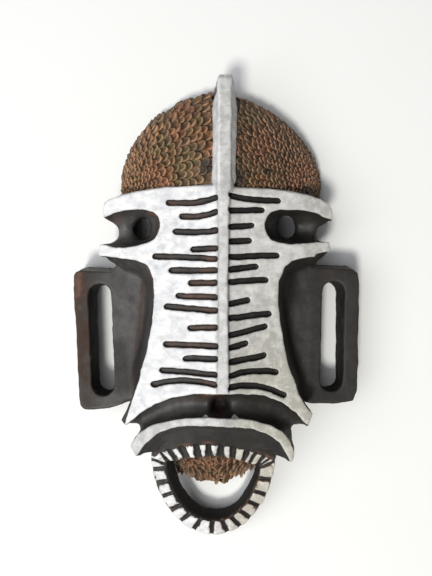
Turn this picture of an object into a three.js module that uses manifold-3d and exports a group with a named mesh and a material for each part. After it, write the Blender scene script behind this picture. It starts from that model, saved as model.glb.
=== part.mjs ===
// A hand-built ceramic mask lying on its back with its face up: a scaled head shell that is hollow
// behind, a white-slipped face with carved strokes, slab ears with long slots and a muzzle ring.
// Millimetres. X runs across the face, Y from the muzzle up to the crown, Z out of the face.
// While it is built, x = 0 and y = 0 lie near the waist of the face; at the end the piece is moved
// so that the middle of its box is the origin and its open back lies on z = 0.

import * as THREE from 'three';
import { mergeVertices } from 'three/addons/utils/BufferGeometryUtils.js';
import Module from 'manifold-3d';

const wasm = await Module();
wasm.setup();

const RAD = Math.PI / 180;

// Driving dimensions

const wall = 9.5;               // thickness of the head shell
const head = {
  wideY: 93,                    // where the head is widest
  lowY: -104,                   // where the chin end of the head starts
  halfWide: 98,                 // half width at wideY
  halfLow: 73,                  // half width at lowY
  crownLength: 93.5,            // from wideY up to the crown
  chinLength: 83,               // from lowY down to the chin
  height: 78,                   // highest point of the head shell above its open back
  midX: 2,                      // where its axis crosses y = 0
  lean: 0.0263,                 // the axis leans to the right as it goes up
  crownShift: 7.5,              // over the crown the axis bends back by this much
};
const scale = {
  row: 9.8,                     // one course of scales over the crown
  chinRow: 11.5,                // and at the chin
  perSide: 11,                  // scales from the open back up to the crest
  lift: 1.7,                    // how far the free end stands off the one before it
  crownStart: 84,               // the courses run from here to the crown
  chinStart: -152,              // and from here to the chin, seen through the mouth
};
const roof = {
  ridgeX: 6,                    // the two halves of the face meet on this line
  height: 97,                   // height of that line at y = 0
  fall: 0.075,                  // it drops toward the brow
  slope: 0.3,                   // each half falls away from it to the sides
};
const faceWall = 12.5;          // thickness of the face over its hollow
const plate = 20;               // thickness of the brow, cheek and lip edges that stand out
const browSlope = 8;            // the upper side of the brow spreads by this much over that thickness
const blockFlare = 12;          // the sides of the face spread by this much toward the back
const blockBack = 40;           // how deep the sides of the face go
const nose = {
  height: 7,                    // the ridge over the face
  endY: -88,
  lean: 0.01,                   // it drifts to the right as it goes up
  sideLean: 0.8,                // its sides draw in toward the top
};
const strokeWidth = 5.2;
const strokeDepth = 4;
const crest = {
  foot: 11, top: 5.6,           // half widths
  fromY: 80, toY: 190,
  endHeight: 74, endX: 8.2,
  endDrop: 3, endBevel: 4.5,    // the blade's end is cut back a little
  rooted: 7,                    // its foot goes this deep into the head
};
const earFront = 45;            // front of the ear slabs above the ground
const earThick = 38;            // their back is close above the ground
const ring = {
  x: -2.2, y: -150, halfWide: 56.3, length: 87.7,                // outer edge
  holeX: -2.7, holeY: -157.4, holeHalfWide: 42.5, holeLength: 63.6,
  archY: -145.8, archX: -8, archFall: 0.0045,                    // middle line of the upper teeth
  archHalf: 6,                                                   // half height of the upper teeth
  lowFront: 24, tilt: 0.474,                                     // front plane, lowest at the chin
  thick: 22,
  holeDraw: 0.27, holeShift: 0.09,                               // the hole draws in toward the back
  grooveWidth: 4, grooveDepth: 2.4, grooveLength: 30,
};

const slip = new THREE.MeshStandardMaterial({ color: 0xe6e3de, roughness: 0.8, metalness: 0 });

// Helpers for closed bodies

// Turns a closed geometry into a solid that can be cut and joined.
function solid(geometry) {
  const bare = geometry.clone();
  bare.deleteAttribute('normal');
  bare.deleteAttribute('uv');
  const merged = mergeVertices(bare, 1e-4);
  return new wasm.Manifold(new wasm.Mesh({
    numProp: 3,
    vertProperties: Float32Array.from(merged.attributes.position.array),
    triVerts: Uint32Array.from(merged.index.array),
  }));
}

function geometryOf(body) {
  const mesh = body.getMesh();
  const geometry = new THREE.BufferGeometry();
  geometry.setAttribute('position', new THREE.BufferAttribute(Float32Array.from(mesh.vertProperties), 3));
  geometry.setIndex(new THREE.BufferAttribute(Uint32Array.from(mesh.triVerts), 1));
  return geometry;
}

// Triangles that fill a ring, all turned the way the ring itself turns in the flat view.
function capFaces(ringPoints, flat) {
  const outline = ringPoints.map(flat);
  const turn = Math.sign(THREE.ShapeUtils.area(outline));
  return THREE.ShapeUtils.triangulateShape(outline, []).map(([a, b, c]) => {
    const area = THREE.ShapeUtils.area([outline[a], outline[b], outline[c]]);
    return Math.sign(area) === turn ? [a, b, c] : [a, c, b];
  });
}

// A closed skin over a row of rings that all have the same number of points.
function loft(rings, flat) {
  const n = rings[0].length;
  const positions = rings.flat().flatMap((p) => [p.x, p.y, p.z]);
  const faces = [];
  for (let k = 0; k + 1 < rings.length; k += 1) {
    for (let i = 0; i < n; i += 1) {
      const j = (i + 1) % n;
      const a = k * n + i;
      const b = k * n + j;
      faces.push([a, b, b + n], [a, b + n, a + n]);
    }
  }
  const last = (rings.length - 1) * n;
  for (const [a, b, c] of capFaces(rings[0], flat)) faces.push([a, c, b]);
  for (const [a, b, c] of capFaces(rings[rings.length - 1], flat)) faces.push([last + a, last + b, last + c]);
  const volume = faces.reduce((sum, [a, b, c]) => {
    const [p, q, r] = [a, b, c].map((i) => new THREE.Vector3().fromArray(positions, 3 * i));
    return sum + p.dot(q.cross(r)) / 6;
  }, 0);
  const geometry = new THREE.BufferGeometry();
  geometry.setAttribute('position', new THREE.Float32BufferAttribute(positions, 3));
  geometry.setIndex(faces.flatMap(([a, b, c]) => (volume > 0 ? [a, b, c] : [a, c, b])));
  return solid(geometry);
}

const seenFromAbove = (p) => new THREE.Vector2(p.x, p.y);
const seenFromChin = (p) => new THREE.Vector2(p.x, p.z);

// An upright body between two outlines of [x, y] points with the same count. The heights are
// numbers or functions of x and y.
function prism(lower, upper, zLow, zHigh) {
  const height = (z, x, y) => (typeof z === 'function' ? z(x, y) : z);
  const lift = (outline, z) => outline.map(([x, y]) => new THREE.Vector3(x, y, height(z, x, y)));
  return loft([lift(lower, zLow), lift(upper, zHigh)], seenFromAbove);
}

// A round-bottomed scoop along a path of stations {x, y, z, a, b}: a is half its width across the
// path and b half its height.
function scoop(stations, sides = 14) {
  const rings = stations.map((s, k) => {
    const before = stations[Math.max(k - 1, 0)];
    const after = stations[Math.min(k + 1, stations.length - 1)];
    const across = new THREE.Vector3(-(after.y - before.y), after.x - before.x, 0).normalize();
    return Array.from({ length: sides }, (_, i) => {
      const t = (2 * Math.PI * (i + 0.5)) / sides;
      return new THREE.Vector3(s.x, s.y, s.z + s.b * Math.sin(t)).addScaledVector(across, s.a * Math.cos(t));
    });
  });
  const flatCap = (ringPoints) => {
    const across = ringPoints[0].clone().sub(ringPoints[sides / 2 - 1]).setZ(0).normalize();
    return (p) => new THREE.Vector2(p.dot(across), p.z);
  };
  return loft(rings, flatCap(rings[0]));
}

// The ground for every part of the face: two planes that meet on the nose line.
const roofHeight = (x, y) => roof.height - roof.fall * y - roof.slope * Math.abs(x - roof.ridgeX);

// The layer of the roof between two depths under its front.
function roofLayer(under, depth) {
  const far = 200;
  const xs = [roof.ridgeX - far, roof.ridgeX, roof.ridgeX + far];
  const section = (y) => [
    ...xs.map((x) => new THREE.Vector3(x, y, roofHeight(x, y) - under)),
    ...xs.toReversed().map((x) => new THREE.Vector3(x, y, roofHeight(x, y) - depth)),
  ];
  return loft([section(-300), section(250)], seenFromChin);
}

// Head shell

function headMid(y) {
  const over = Math.max(0, (y - head.wideY) / head.crownLength);
  return head.midX + head.lean * y - head.crownShift * over ** 1.5;
}

// Half width and height of the head at y, measured inset millimetres under its surface.
function headSize(y, inset) {
  const span = head.wideY - head.lowY + head.chinLength;
  if (y > head.wideY) {
    const u = Math.max(0, 1 - ((y - head.wideY) / (head.crownLength - inset)) ** 2);
    return [(head.halfWide - inset) * u ** 0.53, (head.height - inset) * Math.sqrt(u)];
  }
  const h = (head.height - inset) * (1 - ((head.wideY - y) / (span - inset)) ** 2.6) ** (1 / 2.2);
  if (y > head.lowY) {
    const t = (y - head.lowY) / (head.wideY - head.lowY);
    return [head.halfLow + t * (head.halfWide - head.halfLow) - inset, h];
  }
  const u = Math.sqrt(Math.max(0, 1 - ((head.lowY - y) / (head.chinLength - inset)) ** 2));
  return [(head.halfLow - inset) * u, h];
}

// One ring across the head: angles run from the ground on the right over the top to the left.
function headRing(y, inset, angles, lifts) {
  const [w, h] = headSize(y, inset);
  return angles.map((t, i) => {
    const outward = new THREE.Vector2(Math.cos(t) * h, Math.sin(t) * w).normalize();
    const lift = lifts ? lifts[i] : 0;
    const x = headMid(y) + w * Math.cos(t) + lift * outward.x;
    return new THREE.Vector3(x, y, Math.max(0, h * Math.sin(t) + lift * outward.y));
  });
}

// The scales lap toward the crest from both sides: each rises from its root to its free end and
// drops to the root of the next. Every other course starts half a scale later.
function scaleRing(y, course, strength) {
  const step = 90 / scale.perSide;
  const shift = course % 2 ? 0.25 : -0.25;
  const side = [];
  for (let i = 0; i < scale.perSide; i += 1) {
    side.push({ angle: (i + 0.35 + shift) * step, lift: 0 });
    side.push({ angle: (i + 1.15 + shift) * step, lift: scale.lift * strength });
  }
  side[side.length - 1].angle = Math.min(side[side.length - 1].angle, 89);
  const all = [
    { angle: 0, lift: 0 }, ...side, { angle: 90, lift: 0 },
    ...side.toReversed().map((p) => ({ angle: 180 - p.angle, lift: p.lift })), { angle: 180, lift: 0 },
  ];
  return headRing(y, 0, all.map((p) => p.angle * RAD), all.map((p) => p.lift));
}

// Courses between two stations, each with a high middle and a low joint to the next one. The
// courses keep their height along the surface, so they crowd together toward the ends.
function scaleCourses(fromY, toY, centre, length, row) {
  const rings = [];
  const reach = (y) => Math.asin(Math.min(1, Math.abs(y - centre) / length));
  const start = reach(fromY);
  const end = reach(toY);
  const arc = (end - start) * length;
  const count = Math.round(arc / row);
  for (let k = 0; k < count; k += 1) {
    for (const [part, strength] of [[0.12, 0.1], [0.55, 1]]) {
      const t = start + ((k + part) / count) * (end - start);
      rings.push(scaleRing(centre + Math.sign(toY - fromY) * length * Math.sin(t), k, strength));
    }
  }
  return rings;
}

function headShell() {
  const crownTip = head.wideY + head.crownLength * 0.995;
  const chinTip = head.lowY - head.chinLength * 0.995;
  const crown = scaleCourses(scale.crownStart, crownTip, head.wideY - 20, head.crownLength + 20,
    scale.row);
  const chin = scaleCourses(scale.chinStart, chinTip, head.lowY, head.chinLength, scale.chinRow).reverse();
  const plainY = [-130, -104, -60, 0];
  const plain = plainY.map((y, k) => scaleRing(y, k, 0));
  return loft([...chin, ...plain, ...crown], seenFromChin);
}

// The hollow behind the shell keeps the wall's thickness.
function headHollow() {
  const angles = Array.from({ length: 17 }, (_, i) => (i * Math.PI) / 16);
  const chin = [86, 72, 54, 32, 14].map((a) => head.lowY - (head.chinLength - wall) * Math.sin(a * RAD));
  const middle = [0, 50, 100, 150, 190].map((step) => head.lowY + step);
  const crown = [4, 22, 40, 56, 72, 86]
    .map((a) => head.wideY + (head.crownLength - wall) * Math.sin(a * RAD));
  const rings = [...chin, ...middle, ...crown].map((y) => {
    const arch = headRing(y, wall, angles);
    const below = (p) => new THREE.Vector3(p.x, y, -10);
    return [...arch, below(arch[arch.length - 1]), below(arch[0])];
  });
  return loft(rings, seenFromChin);
}

// Face

const pointsOn = (curve, count) => curve.getPoints(count).map((p) => [p.x, p.y]);
const curveThrough = (points) => new THREE.SplineCurve(points.map(([x, y]) => new THREE.Vector2(x, y)));

// The waisted sides of the face from the cheekbones down to the jaw tips.
const leftWaist = pointsOn(curveThrough([
  [-96, 28], [-74, 26], [-60, 20.5], [-54.8, 8], [-54.6, -16], [-58, -43], [-66.5, -75],
  [-77.4, -104], [-83.3, -115.8],
]), 16);
const rightWaist = pointsOn(curveThrough([
  [90, 31], [72, 28], [60, 18.5], [54.5, 6], [54, -14], [57, -40], [64, -71], [75, -96],
  [85, -110],
]), 16);

// Outline of everything that carries slip, before the eye, moustache and lip hollows are cut.
function faceOutline() {
  return [
    [6, 88], [-23.5, 88.4], [-45, 88.3], [-64.6, 86.5], [-86, 83.6], [-98, 80], [-101.7, 77], [-102.6, 65],
    [-105.5, 36], [-106, 29],
    ...leftWaist,
    [-79, -121.4], [-77, -122.8], [-70.5, -121.8], [-66.5, -125], [-74, -136.5], [-74.5, -139],
    [-69.4, -146.5], [-67, -147.5], [-63.5, -145.5], [60, -148.5], [62.6, -151], [66.3, -148],
    [67.6, -142], [67.4, -124], [69.5, -122], [79.5, -122],
    ...rightWaist.toReversed(),
    [103.4, 33], [102.6, 41], [105.4, 61], [105.7, 71], [101, 76.5], [94.3, 80], [84, 82.7], [68.3, 85.2],
    [47.4, 86.8], [14, 86.6],
  ];
}

// An upright body whose lower sides lean from one outline to the other between two heights and
// then go straight up, cut off by the roof.
function leaningBody(lower, upper, zLow, zFront) {
  const height = (z, x, y) => (typeof z === 'function' ? z(x, y) : z);
  const lift = (outline, z) => outline.map(([x, y]) => new THREE.Vector3(x, y, height(z, x, y)));
  return loft([lift(lower, zLow), lift(upper, zFront), lift(upper, 150)], seenFromAbove);
}

// The body of the face behind its front edges: as wide as the waist, and out to the temples
// behind the eyes. Its sides spread toward the back.
function faceBlock() {
  const left = leftWaist.filter(([x]) => x > -70);
  const right = rightWaist.filter(([x]) => x < 70);
  const outline = [
    [6, 84], [-70, 80], [-86, 72], [-90.5, 54], [-90, 38], [-88, 28], ...left, [-60, -118], [-58, -141],
    [54, -143], [60, -120], ...right.toReversed(), [88, 28], [93, 38], [94, 52], [91, 72], [76, 80],
  ];
  const spread = outline.map(([x, y]) => {
    const flare = y < 30 ? blockFlare * Math.min(1, (34 - y) / 12) : 0;
    return [x + Math.sign(x) * flare, y - (y > 15 && y < 30 ? 6 : 0)];
  });
  return leaningBody(spread, outline, blockBack, roofHeight).intersect(roofLayer(0, 200));
}

// The front: brow, cheekbones, jaws and lip, one plate thick. The upper side of the brow slopes
// down to the head, most of all in the middle.
function faceFront() {
  const outline = faceOutline();
  const sloped = outline.map(([x, y]) => {
    const share = 1 - ((x - roof.ridgeX) / 112) ** 2;
    return [x, y > 75 ? y + browSlope * share : y];
  });
  return leaningBody(sloped, outline, (x, y) => roofHeight(x, y) - plate, roofHeight)
    .intersect(roofLayer(0, plate));
}

// The underside of each cheekbone slopes back to the top of the ear, and draws in to the tip.
function cheekUnderside(side) {
  const edge = side < 0
    ? [[-105.4, 31], [-97, 28.4], [-86, 27.2], [-74, 26], [-60, 20.5], [-54.8, 8]]
    : [[103.4, 33], [94, 31.4], [84, 30], [72, 28], [60, 18.5], [54.5, 6]];
  const foot = side < 0
    ? [[-105.4, 30.8], [-99.6, 25.6], [-93.4, 21.4], [-84, 15.4], [-72, 13], [-60, 7]]
    : [[103.4, 32.6], [100.5, 29.4], [94.7, 25], [84, 20], [72, 16], [60, 5]];
  const inner = [[side * 50, 5], [side * 50, 34], [side * 98, 36]];
  return leaningBody([...foot, ...inner], [...edge, ...inner], earFront - 1, roofHeight)
    .intersect(roofLayer(0, 200));
}

// The nose side of the face is hollow too, up to its own wall.
function faceHollow() {
  const outline = [
    [-30, 76], [-41, 50], [-42, 0], [-44, -40], [-50, -78], [56, -76], [48, -40], [44, 0], [44, 50], [36, 76],
  ];
  return prism(outline, outline, -10, 130).intersect(roofLayer(faceWall, 200));
}

// Nose ridge: a low bar with leaning sides along the line where the two halves meet.
function noseRidge() {
  const stations = [[nose.endY, 5.6], [-40, 4.6], [10, 4.4], [60, 5], [crest.fromY + 8, 5.6]];
  const section = ([y, half]) => {
    const x = roof.ridgeX + nose.lean * Math.max(0, y);
    const low = roofHeight(roof.ridgeX, y) - nose.height;
    const high = roofHeight(roof.ridgeX, y) + nose.height;
    const foot = half + nose.sideLean;
    const top = half - nose.sideLean;
    return [[-foot, low], [foot, low], [top, high], [-top, high]]
      .map(([dx, z]) => new THREE.Vector3(x + dx, y, z));
  };
  return loft(stations.map(section), seenFromChin);
}

// Crest: the nose line runs on as a fin over the head and ends as a blade at the crown.
function crestFin() {
  const noseTop = roofHeight(roof.ridgeX, crest.fromY) + nose.height;
  const startX = roof.ridgeX + nose.lean * crest.fromY;
  const ys = [crest.fromY, 100, 120, 140, 158, 172, 182, crest.toY - crest.endBevel, crest.toY];
  const section = (y) => {
    const t = (y - crest.fromY) / (crest.toY - crest.fromY);
    const drop = y === crest.toY ? crest.endDrop : 0;
    const top = noseTop + t * (crest.endHeight - noseTop) - drop;
    const foot = Math.max(0.5, headSize(y, 0)[1] - crest.rooted);
    const x = startX + t * (crest.endX - startX);
    return [[-crest.foot, foot], [crest.foot, foot], [crest.top, top], [-crest.top, top]]
      .map(([dx, z]) => new THREE.Vector3(x + dx, y, z));
  };
  return loft(ys.map(section), seenFromChin);
}

// Carved strokes, each as [y at the nose, y at the outer end, x of the outer end, rise of its bow].
const leftStrokes = [
  [78.4, 75.2, -44.4, -2.6], [66.2, 62.5, -32.4, -1.7], [50, 49.1, -38.3, -1.2], [34.3, 33.1, -22.5, 0],
  [24.8, 28.2, -56.2, 0], [15, 15.3, -41.4, 0], [4.4, 4.5, -24.2, 0], [-7.8, -6.7, -35.4, 0],
  [-19.5, -15.9, -46, 0], [-33.6, -34.2, -24.8, 0], [-49.3, -48.9, -46, 0], [-59.7, -60.5, -28.6, 0],
  [-73.3, -70.8, -49.2, 0], [-82.2, -83.3, -57.3, 3.5],
];
const rightStrokes = [
  [80.2, 77, 57.7, -1.5], [66.9, 68.2, 42.8, 0], [52, 54.3, 33.9, 0], [39.6, 40.9, 31.3, 0],
  [26.4, 28.4, 55.9, 0], [15.8, 18.5, 37.1, 0], [5.2, 6.9, 45.9, 0], [-13.8, -10.6, 29.9, 0],
  [-25.8, -22.2, 48.5, 0], [-40.5, -33.2, 44.7, 0], [-51.5, -47.2, 27.9, 0], [-63.3, -57.7, 43.5, 0],
  [-75, -72.5, 54.9, 3], [-84.5, -92.6, 61.4, 5],
];

// One stroke is a flat-bottomed groove with a round outer end that starts beside the nose ridge.
function strokeCutter([yNose, yEnd, xEnd, bow]) {
  const side = Math.sign(xEnd - roof.ridgeX);
  const startX = roof.ridgeX + side * 4.2;
  const half = strokeWidth / 2;
  const endX = xEnd - side * half;
  const middle = new THREE.QuadraticBezierCurve(
    new THREE.Vector2(startX, yNose),
    new THREE.Vector2((startX + endX) / 2, (yNose + yEnd) / 2 + 2 * bow),
    new THREE.Vector2(endX, yEnd),
  );
  const line = middle.getPoints(bow ? 4 : 1);
  const edge = (shift) => line.map((p) => [p.x, p.y + shift]);
  const round = [50, 0, -50].map((a) => a * RAD)
    .map((t) => [endX + side * half * Math.cos(t), yEnd + half * Math.sin(t)]);
  const outline = [...edge(half), ...round, ...edge(-half).reverse()];
  return prism(outline, outline, (x, y) => roofHeight(x, y) - strokeDepth, (x, y) => roofHeight(x, y) + 30);
}

// Hollows

// The eye hollow runs out through the side between brow and cheekbone.
function eyeHollow(side) {
  const left = [
    [-49.5, 56, 3], [-51, 56, 8], [-55, 56, 12.5], [-62, 54.8, 15.2], [-72, 53.9, 16.8],
    [-82, 53.4, 17.4], [-92, 52.6, 16], [-100, 52.1, 13.6], [-112, 52, 11.5],
  ];
  const right = [
    [42.8, 54.5, 3], [44.5, 54.5, 8], [48.5, 54.5, 12.5], [56, 54.2, 15], [68, 54, 15.7], [78, 54.2, 15.2],
    [88, 54, 13.6], [98, 52.5, 11.3], [112, 51, 9.6],
  ];
  return scoop((side < 0 ? left : right).map(([x, y, a], k) => {
    const z = roofHeight(x, y) + 3;
    const floor = Math.abs(x) < 80 ? 45 : 50;
    return { x, y, z, a: a * 1.02, b: Math.min(3 + 4.5 * (k + 1), z - floor) };
  }), 12);
}

// Its outer end is bitten away between two sharp tips of brow and cheekbone.
function eyeBite(side) {
  const outline = side < 0
    ? [[-115, 66], [-102.4, 64.7], [-98.6, 61.8], [-94, 59.1], [-90.6, 53.8], [-89.8, 48.9],
      [-92.3, 44.7], [-96.4, 41.4], [-103.2, 39.3], [-115, 38.5]]
    : [[115, 62.5], [105, 60.9], [99.6, 58.4], [96.3, 56.6], [94.3, 54.2], [93.3, 50.1],
      [93.6, 44.3], [94.4, 42.2], [102, 41.7], [115, 41.5]];
  return prism(outline, outline, 25, 100);
}

function eyeHole(x, y, halfX, halfY) {
  const outline = Array.from({ length: 16 }, (_, i) => {
    const t = (i * Math.PI) / 8;
    return [x + halfX * Math.cos(t), y + halfY * Math.sin(t)];
  });
  return prism(outline, outline, 5, 90);
}

// The moustache hollow arches under the nose and runs out through both jaw edges.
function moustacheHollow() {
  const arch = [
    [-92, -142, 8, 26], [-80, -130.5, 7, 22], [-72, -122.4, 6.2, 18], [-62, -114.4, 6.9, 15],
    [-50, -108.2, 8.6, 13], [-36, -103.2, 9.6, 13], [-18, -100.2, 10.1, 13], [2, -99.4, 10, 13],
    [22, -100, 10.3, 13], [38, -102.4, 11.5, 13], [52, -107.8, 11.3, 14], [63, -115.4, 10.2, 16],
    [72.4, -126, 9.8, 20], [80, -138, 9.6, 24], [88, -152, 9.4, 28],
  ];
  return scoop(arch.map(([x, y, a, b]) => ({ x, y, z: roofHeight(x, y) + 1, a, b })));
}

// The nostril is a rounded wedge cut deeper into the middle of the moustache hollow.
function nostrilHollow() {
  const mouth = [
    [-3, -91.4], [8.4, -90.8], [12.2, -96], [14.3, -103], [12.4, -107.8], [6.5, -109.7], [-1, -109.6],
    [-6, -108.3], [-6.9, -104.4], [-5.4, -97.5],
  ];
  const [midX, midY] = [3.5, -101.5];
  const draw = 0.62;
  const floor = mouth.map(([x, y]) => [midX + draw * (x - midX), midY + draw * (y - midY)]);
  return prism(floor, mouth, 74, 104).add(prism(mouth, mouth, 103.9, 125));
}

// The underlip drops away in a cove from the lip edge to the teeth.
function lipCove() {
  const edge = [
    [-96, -176], [-82, -160], [-70, -146], [-62, -134.5], [-52, -126], [-38, -119.3], [-21, -116.4],
    [-2, -116.2], [16, -117], [32, -119], [44, -124], [54, -131], [61, -143], [70, -160], [80, -176],
  ];
  const cove = { above: 3, reach: 24, floor: 69 };
  return scoop(edge.map(([x, y], k) => {
    const before = edge[Math.max(k - 1, 0)];
    const after = edge[Math.min(k + 1, edge.length - 1)];
    const across = new THREE.Vector2(after[1] - before[1], -(after[0] - before[0])).setLength(cove.reach);
    const z = roofHeight(x, y) + cove.above;
    return { x: x + across.x, y: y + across.y, z, a: cove.reach, b: Math.max(12, z - cove.floor) };
  }), 20);
}

// Ears

// An ear slab: rounded corners and leaning sides, with a long round-ended slot through it.
function earSlab(front, slotBack, slotFront) {
  const back = front.map(([x, y]) => [1.005 * x, y > -40 ? y + 5 : y]);
  const slab = prism(back, front, earFront - earThick, earFront);
  return slab.subtract(prism(slotBack, slotBack, 0, earFront - earThick))
    .subtract(prism(slotBack, slotFront, earFront - earThick - 0.1, earFront + 0.1));
}

// A long slot with round ends between two end points.
function slotOutline(topX, topY, bottomX, bottomY, half) {
  const arc = (x, y, from) => Array.from({ length: 7 }, (_, i) => {
    const t = (from + i * 30) * RAD;
    return [x + half * Math.cos(t), y + half * Math.sin(t)];
  });
  return [...arc(topX, topY, 0), ...arc(bottomX, bottomY, 180)];
}

function leftEar() {
  const front = [
    [-132.4, 11.5], [-130.4, 15.2], [-126, 16.2], [-111.6, 15.6], [-97, 14.6], [-93.5, 20], [-60, 20],
    [-60, -104], [-84, -107], [-90.6, -109.5], [-101, -112], [-115, -113.4], [-123, -113], [-126.6, -109],
    [-128.4, -85], [-130.2, -46], [-132.4, -5],
  ];
  const slotBack = slotOutline(-107.4, -6.6, -104.4, -90.4, 10);
  const slotFront = slotOutline(-108.3, -6.5, -105, -89.6, 10.8);
  return earSlab(front, slotBack, slotFront);
}

function rightEar() {
  const front = [
    [60, 20], [90, 20], [97, 18], [111, 17.8], [127.4, 17.4], [132.2, 14], [133.4, 6], [132.6, -35],
    [132.4, -65], [131.4, -96], [127.8, -105], [111, -107.8], [90, -107.4], [60, -104],
  ];
  const slotBack = slotOutline(108.6, -3.6, 108.6, -87.8, 9.6);
  const slotFront = slotOutline(109.3, -4, 107.2, -86.4, 10.4);
  return earSlab(front, slotBack, slotFront);
}

// Muzzle ring

const ringFront = (x, y) => ring.lowFront + ring.tilt * (y - (ring.y - ring.length));

function ringBody() {
  const arc = (cx, cy, halfWide, length, count) => Array.from({ length: count + 1 }, (_, i) => {
    const t = (Math.PI * i) / count;
    return [cx - halfWide * Math.cos(t), cy - length * Math.sin(t)];
  });
  const shoulders = [[52, -134], [30, -124], [-30, -124], [-52, -134]].map(([dx, y]) => [ring.x + dx, y]);
  const outer = [...arc(ring.x, ring.y, ring.halfWide, ring.length, 28), ...shoulders];
  const archY = (x) => ring.archY - ring.archFall * (x - ring.archX) ** 2 - ring.archHalf;
  const top = [0.84, 0.5, 0.17, -0.17, -0.5, -0.84].map((t) => {
    const x = ring.holeX + t * ring.holeHalfWide;
    return [x, archY(x)];
  });
  const around = arc(ring.holeX, ring.holeY, ring.holeHalfWide, ring.holeLength, 24);
  const centre = [ring.holeX, ring.holeY - 25];
  const holeAt = (depth) => [...around, ...top].map(([x, y], i) => {
    const away = new THREE.Vector2(x - centre[0], y - centre[1]);
    const draw = i < around.length ? ring.holeDraw * depth - 1 : 0.2 * ring.holeDraw * depth;
    away.setLength(away.length() - draw);
    return [centre[0] + away.x + ring.holeShift * depth, centre[1] + away.y];
  });
  const [behind, before] = [ring.thick * 1.6, -ring.thick * 0.9];
  const slab = prism(outer, outer, (x, y) => ringFront(x, y) - ring.thick, ringFront);
  return slab.subtract(prism(holeAt(behind), holeAt(before),
    (x, y) => ringFront(x, y) - behind, (x, y) => ringFront(x, y) - before));
}

// One groove between two teeth, cut down from the front of the ring.
function toothGroove(outline) {
  return prism(outline, outline, (x, y) => ringFront(x, y) - ring.grooveDepth, (x, y) => ringFront(x, y) + 9);
}

// The lower grooves point outward all round the ring.
function lowerGrooves() {
  const midX = (ring.halfWide + ring.holeHalfWide) / 2;
  const midY = ring.length - ring.grooveLength / 3;
  const half = ring.grooveWidth / 2;
  const angles = [7, 18, 29, 42.5, 55, 70, 88, 103.5, 117, 129, 141.5, 152.5, 164.5];
  return angles.map((a) => {
    const [cos, sin] = [Math.cos(a * RAD), Math.sin(a * RAD)];
    const across = new THREE.Vector2(midX * sin, -midY * cos).setLength(half);
    const along = new THREE.Vector2(-cos / midX, -sin / midY).setLength(ring.grooveLength / 2);
    const [x, y] = [ring.x - midX * cos, ring.holeY + 3 - midY * sin];
    return toothGroove([[1, 1], [-1, 1], [-1, -1], [1, -1]]
      .map(([u, v]) => [x + u * across.x + v * along.x, y + u * across.y + v * along.y]));
  });
}

// The upper grooves are uneven wedges: [x and half width at the top, x and half width below].
const upperWedges = [
  [-50.6, 1.7, -41.4, 1.5], [-42.6, 2.4, -35.7, 2], [-31.3, 3, -25.5, 3.2], [-17.9, 2.6, -15.3, 3],
  [-6.6, 2.4, -6.4, 2.6], [4.6, 2.3, 4.2, 2.4], [15.7, 2.8, 14.3, 2.2], [28.9, 3.4, 24, 1.5],
  [36.2, 2.1, 29.3, 1.7], [43.7, 2.4, 35.9, 1.1],
];

// The slanting grooves at both corners of the mouth: [outer x and y, inner x and y, half width].
const cornerGrooves = [
  [-60, -153, -43.5, -160.2, 1.3], [50.6, -152, 38.6, -161.8, 1], [55.5, -155.2, 38, -164.2, 1.2],
];

function upperGrooves() {
  const arch = (x) => ring.archY - ring.archFall * (x - ring.archX) ** 2;
  const over = 1.5;
  return upperWedges.map(([topX, topHalf, lowX, lowHalf]) => {
    const [top, low] = [arch(topX) + ring.archHalf + over, arch(lowX) - ring.archHalf - over];
    return toothGroove([
      [topX - topHalf, top], [topX + topHalf, top], [lowX + lowHalf, low], [lowX - lowHalf, low],
    ]);
  });
}

function slantedGrooves() {
  return cornerGrooves.map(([outX, outY, inX, inY, half]) => {
    const across = new THREE.Vector2(outY - inY, inX - outX).setLength(half);
    return toothGroove([
      [outX + across.x, outY + across.y], [inX + across.x, inY + across.y],
      [inX - across.x, inY - across.y], [outX - across.x, outY - across.y],
    ]);
  });
}

// The whole piece

function maskBody() {
  let body = headShell().add(faceBlock()).add(faceFront()).add(cheekUnderside(-1)).add(cheekUnderside(1));
  body = body.add(noseRidge()).add(crestFin());
  for (const side of [-1, 1]) body = body.subtract(eyeHollow(side)).subtract(eyeBite(side));
  body = body.subtract(moustacheHollow()).subtract(nostrilHollow()).subtract(lipCove());
  for (const stroke of [...leftStrokes, ...rightStrokes]) body = body.subtract(strokeCutter(stroke));
  body = body.add(leftEar()).add(rightEar()).add(ringBody());
  const grooves = [...lowerGrooves(), ...upperGrooves(), ...slantedGrooves()];
  for (const groove of grooves) body = body.subtract(groove);
  body = body.subtract(headHollow()).subtract(faceHollow());
  body = body.subtract(eyeHole(-68, 55, 9, 10.8)).subtract(eyeHole(64.4, 56, 9.6, 10.6));
  return body;
}

const geometry = geometryOf(maskBody());
geometry.computeBoundingBox();
const box = geometry.boundingBox;
geometry.translate(-(box.min.x + box.max.x) / 2, -(box.min.y + box.max.y) / 2, -box.min.z);

const mask = new THREE.Mesh(geometry, slip);
mask.name = 'mask';

const group = new THREE.Group();
group.add(mask);
export default group;
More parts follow.
